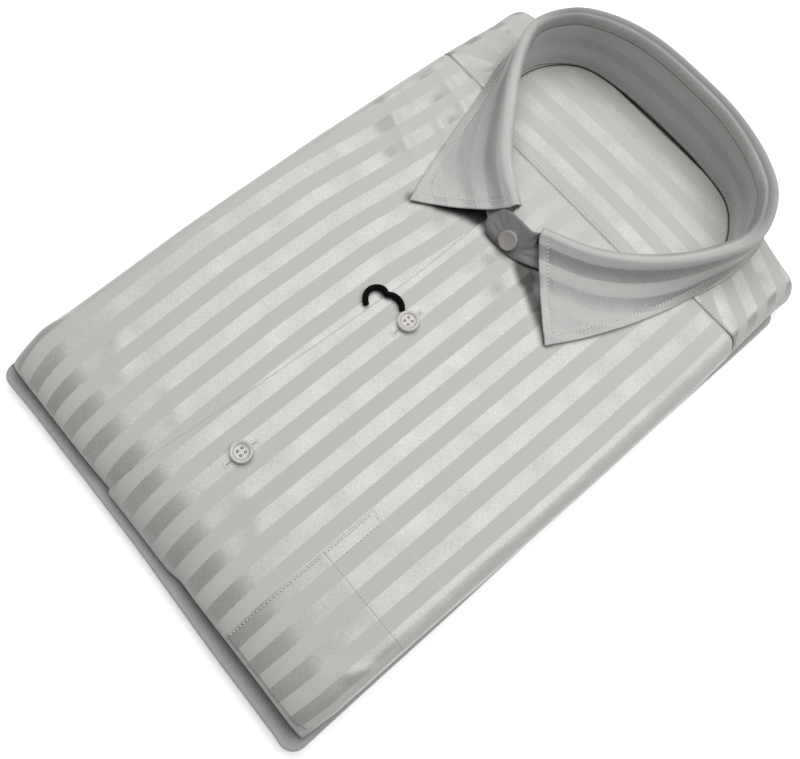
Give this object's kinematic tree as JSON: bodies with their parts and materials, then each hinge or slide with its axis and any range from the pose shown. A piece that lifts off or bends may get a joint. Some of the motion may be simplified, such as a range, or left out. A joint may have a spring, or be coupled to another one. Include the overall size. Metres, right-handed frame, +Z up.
{
  "type": "folded striped shirt",
  "caption": "Buttoned long-sleeved shirt folded flat for a shelf, pale grey satin stripe, open standing collar, chest pocket and a black cord loop.",
  "frame": {"origin": "on the flat underside, on the button line, at half the length of the folded body", "axes": "+X to the viewer's right (the wearer's left) with the collar up, +Y from the bottom fold to the collar, +Z up from the surface it lies on"},
  "size_m": [0.2316, 0.3689, 0.0685],
  "materials": {
    "cloth_front": "satin stripe on a matte ground, lengthwise",
    "cloth_yoke": "satin stripe on a matte ground, crosswise",
    "cloth_inside": "matte wrong side of the stripe",
    "cloth_collar": "satin stripe, fused and pressed",
    "cloth_hidden": "matte",
    "button_pearl": "polished pearl resin",
    "button_grey": "satin resin",
    "cord_black": "matte twisted cord"
  },
  "bodies": {
    "root": {"tail_fold": "cloth_hidden", "sleeve_left": "cloth_hidden", "sleeve_right": "cloth_hidden", "back_fold": "cloth_hidden", "folded_core": "cloth_hidden", "right_front": "cloth_front", "left_front": "cloth_front", "yoke_outer": "cloth_yoke", "yoke_inside": "cloth_yoke", "back_inside": "cloth_inside", "collar_band": "cloth_collar", "collar_leaf": "cloth_collar", "pocket_hem": "cloth_front", "pocket": "cloth_front", "button_1": "button_pearl", "button_2": "button_pearl", "button_band": "button_grey", "cord_loop": "cord_black"}
  },
  "joints": []
}
